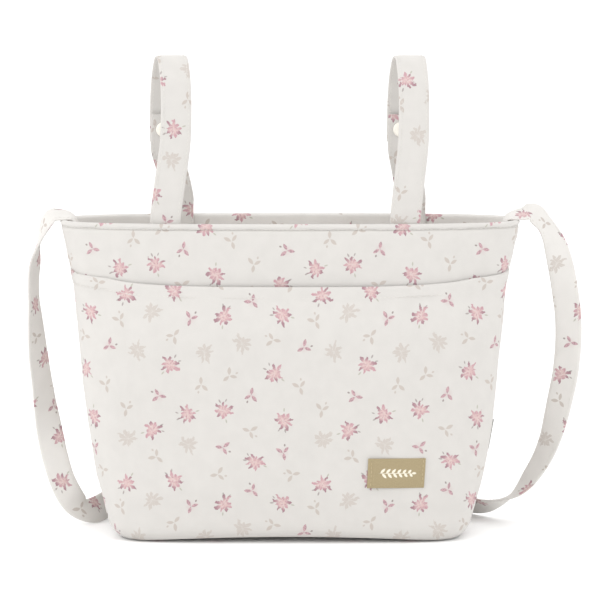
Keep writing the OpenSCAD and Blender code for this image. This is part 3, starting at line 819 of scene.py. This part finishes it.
base_disc("shell_base", "outer_base", 0.0, OUTER_T, 0.3, PRINT, "print_cloth", (20, 20))
base_disc("base_stiffener", "base_board", OUTER_T + PLY, OUTER_T + PLY + BOARD_T, 0, BOARD, "board")
base_disc("inner_lining_base", "lining_base", 3.2, 4.0, 4, LINING, "lining_cloth")


def inner_pocket(name, node, thick, share1, share2, material, slot, gather):
    half = 0.34
    s, share = np.meshgrid(np.linspace(-half, half, 121), np.linspace(share1, share2, 26 if gather else 12),
                           indexing="ij")
    room = 5 * np.clip(np.cos(np.pi / 2 * s / half), 0, 1) ** 0.6 * np.minimum(1, share * 2.5)
    pleat = 0.5 * np.sin(s * SPAN / 1.35) * ease(share, 0.55, 0.92) * ease(half - np.abs(s), 0, 0.03)
    v = 40 + 110 * share
    out = WALL + 0.9 + room + pleat
    outside, inside = skin(s, v, out), skin(s, v, out + thick)
    piece = cloth_sheet(name, to_back(outside), to_back(inside), flat_uv(outside, v), material)
    own(piece, "bag", slot, node)


inner_pocket("gathered_pocket", "inner_pocket", 0.8, 0, 0.9, LINING, "lining_cloth", True)
inner_pocket("gathered_pocket_elastic", "inner_pocket_elastic", 1.6, 0.9, 1, TAPE, "zip_tape", False)


# ---- Zip ---------------------------------------------------------------------
SHEET_Z, ZIP_CLOTH_T, COIL_OUT, COIL_IN = ZIP_H - 0.4, 1, 2.4, 0.7
TAPE_W, TAPE_T = 12, 0.8
FLAP_Y = 7.0  # the inner edge of the cloth that is sewn over the tape
ZIP_PHASE = (15, 44)


def wall_line(xs):
    """Where the inside of the wall is at the zip's height"""
    return np.array([wall_y(x, ZIP_H, WALL + 0.9) for x in xs])


def level_sheet(x, y, top, under):
    """Points and faces of a sheet between two heights over the same places"""
    points = [np.stack([x, y, z], -1).reshape(-1, 3) for z in (top, under)]
    return np.concatenate(points), sheet_faces(*x.shape)


def flat_patch(xs, near, far, z, thick, across, uneven=0.0):
    """Points and faces of a level sheet between the lines y = near and y = far, given at xs"""
    x, t = np.meshgrid(xs, np.linspace(0, 1, across), indexing="ij")
    start, end = (np.broadcast_to(y, xs.shape)[:, None] for y in (near, far))
    y = start + (end - start) * t
    wave = uneven * ripple(x, y, 51, 36) * np.sin(np.pi * t) ** 0.5
    return level_sheet(x, y, z + thick + wave, z + wave)


def lay_level(piece, phase=None):
    """Cloth that lies level takes its flat coordinates from where it is"""
    lay_print(piece, np.array([v.co[:2] for v in piece.data.vertices]) / MM, phase)
    return piece


def zip_surround():
    inner_x = ZIP_HALF + 0.4
    limit = half_w(ZIP_H) - WALL - 1.2
    parts = []
    for sign in (-1, 1):
        xs = np.linspace(-inner_x, inner_x, 72)
        parts.append(flat_patch(xs, sign * wall_line(xs), sign * (MOUTH_HALF + 0.6), SHEET_Z,
                                ZIP_CLOTH_T, 4, 0.15))
        for end in (-1, 1):
            xs = np.linspace(inner_x + 0.05, limit, 20) * end
            slit = np.where(np.abs(xs) < ZIP_END, COIL_OUT + 0.15, 0.02)
            parts.append(flat_patch(xs, sign * wall_line(xs), sign * slit, SHEET_Z, ZIP_CLOTH_T, 12, 0.2))
    piece = lay_level(joined("zip_surround_cloth", parts, PRINT), ZIP_PHASE)
    own(piece, "bag", "print_cloth", "zip_surround")


def tube(line, radius, sides):
    """Points and faces of a round tube along a line"""
    along = np.gradient(line, axis=0)
    along /= np.linalg.norm(along, axis=1)[:, None]
    side = np.cross(along, [0.3, 0.2, 1.0])
    side /= np.linalg.norm(side, axis=1)[:, None]
    up = np.cross(side, along)
    turns = (np.arange(sides) * math.tau / sides)[None, :, None]
    out = np.cos(turns) * side[:, None] + np.sin(turns) * up[:, None]
    return closed_rings(line[:, None] + radius * out)


COIL_PITCH = 1.6


def coil(x1, x2, row):
    """A row of zip coil: a flattened helix between two places along the zip"""
    turns = abs(x2 - x1) / COIL_PITCH
    t = np.linspace(0, 1, int(turns * 8) + 1)
    turn = t * turns * math.tau
    middle = (COIL_IN + COIL_OUT) / 2
    y = row * (middle + (COIL_OUT - COIL_IN) / 2 * np.cos(turn) * 0.85)
    return tube(np.stack([x1 + (x2 - x1) * t, y, ZIP_H + 0.72 * np.sin(turn)], -1), 0.3, 5)


def zip_ends():
    """The closed ends of the coil, and the tabs of cloth sewn over them"""
    coils, tabs = [], []
    for end in (-1, 1):
        coils += [coil(end * (ZIP_HALF + 0.4), end * (ZIP_END - 6.4), row) for row in (-1, 1)]
        xs = np.linspace(ZIP_END - 7, ZIP_END + 4, 12) * end
        x, y = np.meshgrid(xs, np.linspace(-4.5, 4.5, 10), indexing="ij")
        dome = 1.2 * (1 - (np.abs(y) / 4.6) ** 4)
        tabs.append(level_sheet(x, y, SHEET_Z + 1.3 + dome, SHEET_Z + 0.3 + dome * 0.9))
    own(joined("zip_coil_ends", coils, COIL), "bag", "zip_coil", "zip_ends")
    own(lay_level(joined("zip_end_tabs", tabs, PRINT), (70, 10)), "bag", "print_cloth")


def zip_side(side, half):
    """Cloth, tape and coil of one side of the zip, over the left or right half of its length"""
    row = -1 if side == "front" else 1
    x1, x2 = 0.0, (-1 if half == "left" else 1) * ZIP_HALF
    xs = np.linspace(x1, x2, 40)
    flap = flat_patch(xs, row * MOUTH_HALF, row * FLAP_Y, SHEET_Z, ZIP_CLOTH_T, 11, 0.25)
    tape = flat_patch(xs, row * (COIL_OUT + TAPE_W), row * COIL_OUT, SHEET_Z - PLY - TAPE_T, TAPE_T, 6)
    lines = [(np.stack([xs, np.full(len(xs), row * y), np.full(len(xs), SHEET_Z + ZIP_CLOTH_T)], -1),
              np.tile([0.0, 0, 1], (len(xs), 1))) for y in (FLAP_Y + 1.6, FLAP_Y + 5.6)]
    for piece, slot, node in (
            (lay_level(joined(f"zip_flap_{side}_{half}", [flap], PRINT), ZIP_PHASE), "print_cloth", "cloth"),
            (lay_level(joined(f"zip_band_{side}_{half}", [tape], TAPE)), "zip_tape", "tape"),
            (stitches(f"zip_topstitch_{side}_{half}", lines), "print_cloth", None),
            (joined(f"zip_helix_{side}_{half}", [coil(x1, x2, row)], COIL), "zip_coil", "teeth")):
        if node and half == "left":
            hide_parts(f"zip_{node}_{side}")
        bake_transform(piece)


zip_surround()
zip_ends()
for side in ("front", "back"):
    for half in ("left", "right"):
        zip_side(side, half)
for name in ("zip_slider", "zip_pull"):
    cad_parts[name].data.materials.clear()
    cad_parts[name].data.materials.append(METAL)


# ---- Straps ------------------------------------------------------------------
STRAP_STEP = 2.6  # between the rows of points along a strap
EDGE_STITCH = 2.4  # from the edge of a strap to its stitching
LOOP_BEND = 18  # how far from its top, to each side, the two points of a loop's bend line lie


def spline(points, per=10):
    """Smooth line through control points, the same curve as the CAD part's"""
    p = np.asarray(points, float)
    p = np.concatenate([p[:1], p, p[-1:]])
    t = np.linspace(0, 1, per, endpoint=False)[:, None]
    runs = [0.5 * (2 * b + (c - a) * t + (2 * a - 5 * b + 4 * c - d) * t ** 2
                   + (3 * b - a - 3 * c + d) * t ** 3) for a, b, c, d in zip(p, p[1:], p[2:], p[3:])]
    return np.concatenate(runs + [p[-1:]])


def laid(points):
    """A strap at even steps: middle points, width directions, outward directions and lengths so far"""
    along = np.concatenate([[0], np.cumsum(np.linalg.norm(np.diff(points[:, :3], axis=0), axis=1))])
    at = np.linspace(0, along[-1], round(along[-1] / STRAP_STEP) + 1)
    line = np.stack([np.interp(at, along, column) for column in points.T], -1)
    middle, raw = line[:, :3], line[:, 3:]
    onward = np.gradient(middle, axis=0)
    onward /= np.linalg.norm(onward, axis=1)[:, None]
    w = raw - onward * (raw * onward).sum(1, keepdims=True)
    w /= np.linalg.norm(w, axis=1)[:, None]
    return middle, w, np.cross(onward, w), at


def band(name, path, width, phase, seed, cloth=PRINT):
    """A strap of folded cloth: two sewn faces with round folded edges, and slight cross creases"""
    middle, w, up, at = path
    half, thick = width / 2, STRAP_T / 2
    across = np.concatenate([[-1, -0.985, -0.94], np.linspace(-0.84, 0.84, 8), [0.94, 0.985, 1]]) * half
    fold = thick * np.sqrt(np.clip(1 - (np.abs(across) / half) ** 10, 0, 1))
    groove = 0.22 * np.exp(-((half - np.abs(across) - EDGE_STITCH) / 0.8) ** 2)
    profile = np.maximum(fold - groove, 0.02)
    creases = 0.16 * ripple(at[:, None], across[None] * 0.35, seed, 16) * (1 - (across[None] / half) ** 4)
    top = (middle[:, None] + w[:, None] * across[None, :, None]
           + up[:, None] * (profile[None] + creases)[..., None])
    under = (middle[:, None] + w[:, None] * across[None, 1:-1, None]
             - up[:, None] * (profile[None, 1:-1] - creases[:, 1:-1])[..., None])
    ring = np.concatenate([top, under[:, ::-1]], 1)
    rows, cols = ring.shape[:2]
    faces = grid_faces(rows, cols, wrap=True)
    n = len(across)
    for row in (0, rows - 1):  # both ends are closed with faces from the top to the underside
        for k in range(n - 1):
            corners = k, k + 1, (2 * n - 3 - k) % cols, (2 * n - 2 - k) % cols
            face = [row * cols + q for q in dict.fromkeys(corners)]
            faces.append(face if row else face[::-1])
    piece = make_mesh(name, ring.reshape(-1, 3), faces, cloth, 60)
    u = np.concatenate([across, across[1:-1][::-1]])
    side = np.concatenate([np.zeros(n), np.full(n - 2, 61)])
    uv = np.stack(np.broadcast_arrays((u + side)[None], at[:, None]), -1)
    lay_print(piece, uv.reshape(-1, 2), phase)
    return piece


def band_stitches(name, path, width):
    middle, w, up, _ = path
    offset = width / 2 - EDGE_STITCH
    lines = [(middle + w * edge * offset + up * face * (STRAP_T / 2 - 0.2), up * face)
             for edge in (-1, 1) for face in (1, -1)]
    return stitches(name, lines)


def turned(loop, y, z, share=1.0):
    """A point of a loop, and its width direction, turned with the loop about its middle"""
    turn = math.radians(loop[3] * share)
    return (loop[2] - y * math.sin(turn), y * math.cos(turn), z, math.cos(turn), math.sin(turn), 0)


def sewn(x, side, z):
    """A point against the inside of the rim, and the direction of the rim there"""
    d = WALL + OUTER_T + STRAP_T / 2
    y = wall_y(x, RIM_H, d)
    return (x, side * y, z, 1, side * (wall_y(x + 1, RIM_H, d) - y), 0)


def loop_route(loop):
    """Up from the front of the rim, over the top and down the back to the snap"""
    return spline([
        sewn(loop[0], -1, SEWN_Z), sewn(loop[0], -1, 236), sewn(loop[0], -1, 251),
        (0.65 * loop[0] + 0.35 * turned(loop, -33, 0)[0], -34, 278, 1, 0.05, 0),
        turned(loop, -32, 310, 0.65), turned(loop, -28.5, 336, 0.9), turned(loop, -22, 357),
        turned(loop, -12, 370.5), turned(loop, -5, LOOP_TOP - 0.4), turned(loop, 5, LOOP_TOP - 0.4),
        turned(loop, 13, 371.5), turned(loop, 25, 360), turned(loop, 33, 345),
        turned(loop, TAIL_Y, TAB_TOP + 2), turned(loop, TAIL_Y, TAB_TOP - 3.5),
        turned(loop, TAIL_Y, SNAP_Z), turned(loop, TAIL_Y, TAIL_END)])


def tab_route(loop):
    """From inside the back of the rim, up over it to the snap"""
    return spline([
        *(sewn(loop[1], 1, z) for z in (SEWN_Z, 236, RIM_H + 4, RIM_H + 8, RIM_H + 14)),
        (0.6 * loop[1] + 0.4 * turned(loop, TAB_Y, 0)[0], TAB_Y + 1.5, 280, 1, 0.05, 0),
        *(turned(loop, TAB_Y, z) for z in (300, SNAP_Z - 7, SNAP_Z, TAB_TOP))])


def lathe(profile, matrix):
    """Points and faces of a turned shape: (radius, height) pairs, closed at both ends"""
    turns = np.arange(40) * math.tau / 40
    rings = [[matrix @ Vector((r * math.cos(t), r * math.sin(t), h)) for t in turns] for r, h in profile]
    return closed_rings(np.array(rings))


def at_snap(loop, y, side=1):
    x, y, z = turned(loop, y, SNAP_Z)[:3]
    place = Matrix.Translation((x, y, z)) @ Matrix.Rotation(math.radians(loop[3]), 4, "Z")
    place = place @ Matrix.Translation((SNAP_SHIFT, 0, 0)) @ Matrix.Rotation(math.radians(-90), 4, "X")
    return place @ Matrix.Diagonal((1, 1, side, 1))


SNAP_R = SNAP_D / 2
CAP_PROFILE = [(1.5, -2.2), (1.5, 1.2), (SNAP_R - 0.5, 1.2), (SNAP_R, 1.35), (SNAP_R + 0.1, 1.7),
               (SNAP_R - 0.15, 2.1), (SNAP_R - 0.9, 2.4), (SNAP_R - 2.2, 2.55), (2.2, 2.62), (1.9, 2.5),
               (1.0, 2.42), (0.2, 2.4)]
SOCKET_PROFILE = [(1.4, 1.2), (4.8, 1.2), (5, 1.5), (4.9, 2.2), (4.2, 3.1), (3.3, 3.55), (2.75, 3.5),
                  (2.5, 3.2), (2.5, 1.75), (0.2, 1.75)]
STUD_PROFILE = [(1.4, 1.2), (4.4, 1.2), (4.6, 1.4), (4.5, 1.7), (2.4, 1.85), (1.75, 2.1), (1.7, 2.4),
                (2.0, 2.8), (1.9, 3.1), (1.3, 3.3), (0.2, 3.3)]


def sewn_strap(what, name, path, width, print_at, body, bend, nodes):
    """A strap and its stitching, put on their own body, or left where they are when a bend is given"""
    strap = band(f"{what}_strap_{name}", path, width, *print_at)
    sewing = band_stitches(f"{what}_stitching_{name}", path, width)
    for piece in (strap, sewing):
        if bend:
            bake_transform(piece)
        else:
            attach(piece, body)
    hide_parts(*nodes)
    at = path[-1]
    (at[-1] - at[0]) * MM


for name, loop in LOOPS.items():
    phase = (14, 8) if name == "left" else (-30, 62)
    top = turned(loop, 0, LOOP_TOP)
    ahead = turned(loop, LOOP_BEND, LOOP_TOP)
    bend = [(2 * t - a) * MM for t, a in zip(top[:3], ahead[:3])], [a * MM for a in ahead[:3]]
    sewn_strap("loop", name, laid(loop_route(loop)), LOOP_W, (phase, 61), f"tail_{name}", bend,
               (f"loop_limb_{name}", f"loop_tail_{name}"))
    root = sewn(loop[1], 1, RIM_H + 4)
    bend = [(root[0] * MM, root[1] * MM, z * MM) for z in (RIM_H, RIM_H + 8)]
    tab_phase = phase[0] + 40, phase[1] + 33
    sewn_strap("tab", name, laid(tab_route(loop)), LOOP_W, (tab_phase, 67), f"tab_{name}", bend,
               (f"tab_root_{name}", f"loop_tab_{name}"))
    for piece, node, y, side, profile, body in (
            ("tab_cap", "snap_socket_cap", TAB_Y, -1, CAP_PROFILE, "tab"),
            ("tab_socket", "snap_socket", TAB_Y, 1, SOCKET_PROFILE, "tab"),
            ("tail_stud", "snap_stud", TAIL_Y, -1, STUD_PROFILE, "tail"),
            ("tail_cap", "snap_stud_cap", TAIL_Y, 1, CAP_PROFILE, "tail")):
        made = joined(f"{piece}_{name}", [lathe(profile, at_snap(loop, y, side))], SNAP, 50)
        own(made, f"{body}_{name}", "snap_plastic", f"{node}_{name}")


# ---- Shoulder strap ----------------------------------------------------------
# x, y, z of its middle line and the way its width points, from the left corner, down behind the
# bag and up to the right corner
STRAP = [
    (-184.5, 0, STRAP_Z + 0.1, -0.03, 0.95, 0.33), (-188, 0, 250, -0.12, 0.88, 0.45),
    (-193, 0, 243.5, -0.3, 0.9, 0.3), (-198, 1, 230, -0.1, 1, 0), (-201.5, 2, 213, 0.3, 0.95, 0),
    (-203, 4, 197, 0.3, 0.95, 0), (-203, 6, 181, 0.32, 0.95, 0), (-202, 8, 163, 0.48, 0.88, 0),
    (-200.5, 10, 140, 0.64, 0.77, 0), (-198, 13, 117, 0.7, 0.71, 0), (-195.5, 16, 96, 0.82, 0.57, 0),
    (-192, 18, 73, 0.98, 0.2, 0.1), (-188, 19, 53, 0.97, 0, 0.25), (-182, 17, 34, 0.85, 0, 0.5),
    (-173, 16, 18, 0.55, 0.35, 0.7), (-163, 20, 10, 0.1, 0.7, 0.6), (-154, 33, 9.5, -0.3, 0.35, 0.85),
    (-147, 51, 11.5, -0.1, 0, 1), (-139, 67, 11.5, 0, 0, 1), (-124, 77, 11.5, 0, 0, 1),
    (-95, 83, 11.5, 0, 0.1, 1), (-50, 86, 11.5, 0, 0.1, 1), (0, 86, 11.5, 0, 0.1, 1),
    (50, 85, 11.5, 0, 0, 1), (95, 81, 11, 0, -0.2, 0.9), (128, 71, 10, -0.25, -0.35, 0.8),
    (148, 50, 9.5, -0.5, -0.35, 0.75), (161, 34, 13, -0.45, -0.75, 0.45), (174, 24, 19.5, -0.2, -0.97, 0.15),
    (183, 20, 27, 0.15, -0.97, -0.1), (190.5, 17, 36, 0.4, -0.88, -0.2), (197.5, 15, 47, 0.5, -0.82, -0.25),
    (203, 13, 58, 0.6, -0.75, -0.25), (208, 11, 72, 0.7, -0.65, -0.25), (212, 10, 88, 0.85, -0.48, -0.2),
    (215.5, 9, 105, 0.92, -0.35, -0.15), (219, 8, 124, 0.95, -0.28, -0.08), (221, 7, 148, 0.97, -0.2, 0),
    (220.5, 6, 170, 0.97, -0.1, 0), (218, 5, 189, 0.95, 0, 0), (215, 4, 206, 0.92, 0.15, 0.1),
    (211, 3, 222, 0.85, 0.35, 0.2), (206.5, 2, 234, 0.7, 0.65, 0.25), (201, 1, 243.5, 0.5, 0.78, 0.35),
    (195, 0, 250.5, 0.36, 0.7, 0.6), (189.5, 0, 253.6, 0.12, 0.82, 0.54), (186.5, 0, 252.7, 0, 0.88, 0.45),
    (184.5, 0, STRAP_Z + 0.8, 0, 0.95, 0.36)]


def strap_root(side):
    """Up the inside of a top corner and out over the rim"""
    return [(side * 167, 0, SEWN_Z, 0, 1, 0), (side * 167.5, 0, 240, 0, 1, 0),
            (side * 170.5, 0, 248, 0, 1, 0.05), (side * 176, 0, STRAP_Z - 0.6, 0, 1, 0.22)]


WHOLE_STRAP = laid(spline(strap_root(-1) + STRAP + strap_root(1)[::-1]))
STRAP_ROWS = len(WHOLE_STRAP[0])
STRAP_END_ROWS = 31, 27  # steps in the left and right end pieces
STRAP_BEND = 177, 189  # how far from the middle of the bag the two points of each end piece's bend line lie
STRAP_PIECES = {"left_end": (0, STRAP_END_ROWS[0], "strap_root_left"),
                "main": (STRAP_END_ROWS[0], STRAP_ROWS - STRAP_END_ROWS[1], "shoulder_strap"),
                "right_end": (STRAP_ROWS - STRAP_END_ROWS[1], STRAP_ROWS - 1, "strap_root_right")}
for name, (first, last, node) in STRAP_PIECES.items():
    side = -1 if name == "left_end" else 1
    bend = [(side * x * MM, 0, STRAP_Z * MM) for x in STRAP_BEND] if name != "main" else None
    path = [line[first:last + 1] for line in WHOLE_STRAP]
    # The shoulder strap takes the lighter copy of the print: painted light
    sewn_strap("shoulder", name, path, STRAP_W, ((-12, 20), 71, PAINTED_LIGHT_PRINT), "strap", bend, [node])


# ---- Labels ------------------------------------------------------------------
def on_patch(x, z, d):
    """Points d outside the pocket's face, from places measured from the patch's middle"""
    v = PATCH_AT[1] + z - EDGE_R
    share = SEAM_SHARE + (1 - SEAM_SHARE) * v / (POCKET_H - EDGE_R)
    s = (PATCH_AT[0] + x) / girth(PATCH_AT[1])
    return skin(s, v, -d - gape(s, share))


def patch():
    a, b = PATCH_W / 2, PATCH_H / 2
    x, z = np.meshgrid(np.concatenate([[-a], np.linspace(0.6 - a, a - 0.6, 30), [a]]),
                       np.concatenate([[-b], np.linspace(0.6 - b, b - 0.6, 16), [b]]), indexing="ij")
    border = np.minimum(a - np.abs(x), b - np.abs(z))
    drop = 0.35 * np.clip(1 - border / 1.1, 0, 1) ** 2
    groove = 0.3 * np.exp(-((border - PATCH_STITCH) / 0.6) ** 2)
    outside, inside = on_patch(x, z, POCKET_OUT + 2.0 - drop - groove), on_patch(x, z, POCKET_OUT + 0.9)
    piece = cloth_sheet("label_patch_leather", outside, inside, np.stack([x, z], -1), PATCH)
    own(piece, "bag", "patch_leather", "label_patch")
    a, b = a - PATCH_STITCH, b - PATCH_STITCH
    lines = [(on_patch(np.full(40, end * a), end * np.linspace(-b, b, 40), POCKET_OUT + 1.85),
              np.tile([0.25, -1.0, 0], (40, 1))) for end in (1, -1)]
    own(stitches("label_patch_stitching", lines, PATCH_THREAD), "bag", "patch_leather")


def tag():
    """A small folded woven label caught in the side seam"""
    lean = math.atan((half_w(RIM_H) - half_w(0)) / RIM_H)
    out, up = np.meshgrid(np.linspace(-2.5, TAG_OUT, 10), np.linspace(-0.5, 0.5, 26) * TAG_H, indexing="ij")
    curl = 0.5 * np.sin(up / TAG_H * math.pi) * ease(out, 0, TAG_OUT) + 0.2 * ripple(out, up, 81, 18)
    thick = 0.55 * np.sqrt(np.clip(1 - (np.clip(out, 0, None) / TAG_OUT) ** 8, 0.02, 1))
    x = half_w(TAG_Z) + 0.2 + out * math.cos(lean) + up * math.sin(lean)
    z = TAG_Z + up * math.cos(lean) - out * math.sin(lean)
    near, far = np.stack([x, 1 - thick + curl, z], -1), np.stack([x, 1 + thick + curl, z], -1)
    piece = cloth_sheet("woven_side_tag", near, far, np.stack([out, up], -1), TAG)
    own(piece, "bag", "tag_cloth", "side_tag")


patch()
tag()

# ---- Floor, light and camera -------------------------------------------------
floor_shade = Shade("studio_floor", 0.9, specular=0.1)
floor_grain = floor_shade.noise(floor_shade.place(), 3.0)
floor_shade.colour(floor_shade.mix(floor_grain, (0.97, 0.97, 0.97, 1), (0.98, 0.98, 0.975, 1)))
bpy.ops.mesh.primitive_plane_add(size=40, location=(0, 0, -0.0003))
floor = bpy.context.object
floor.name = "studio_floor"
floor.data.materials.append(floor_shade.material)

world = bpy.data.worlds.new("studio")
bpy.context.scene.world = world
world.use_nodes = True
backdrop = world.node_tree.nodes["Background"].inputs
backdrop["Color"].default_value = (1, 1, 1, 1)
backdrop["Strength"].default_value = 1.22


def area_light(name, place, size, power):
    light = bpy.data.lights.new(name, "AREA")
    light.shape, light.size, light.energy = "DISK", size, power
    lamp = bpy.data.objects.new(name, light)
    lamp.location = place
    lamp.rotation_euler = (Vector((0, 0, 0.15)) - Vector(place)).to_track_quat("-Z", "Y").to_euler()
    bpy.context.scene.collection.objects.link(lamp)


area_light("key", (-2.4, -0.9, 1.2), 1.6, 17)
area_light("right", (2.4, -0.9, 1.0), 1.6, 7)
area_light("top", (0.1, -0.6, 2.6), 1.6, 9)
area_light("back", (0.3, 1.8, 2.0), 1.8, 4)

ELEVATION, DISTANCE = math.radians(7.6), 2.8
AIM = Vector((0.0079, -0.001, 0.1834))
camera = bpy.data.objects.new("camera", bpy.data.cameras.new("camera"))
camera.data.sensor_width, camera.data.lens = 36, 212.5
camera.location = AIM + DISTANCE * Vector((0, -math.cos(ELEVATION), math.sin(ELEVATION)))
camera.rotation_euler = (AIM - camera.location).to_track_quat("-Z", "Y").to_euler()
bpy.context.scene.collection.objects.link(camera)
bpy.context.scene.camera = camera
bpy.context.scene.view_settings.view_transform = "Standard"
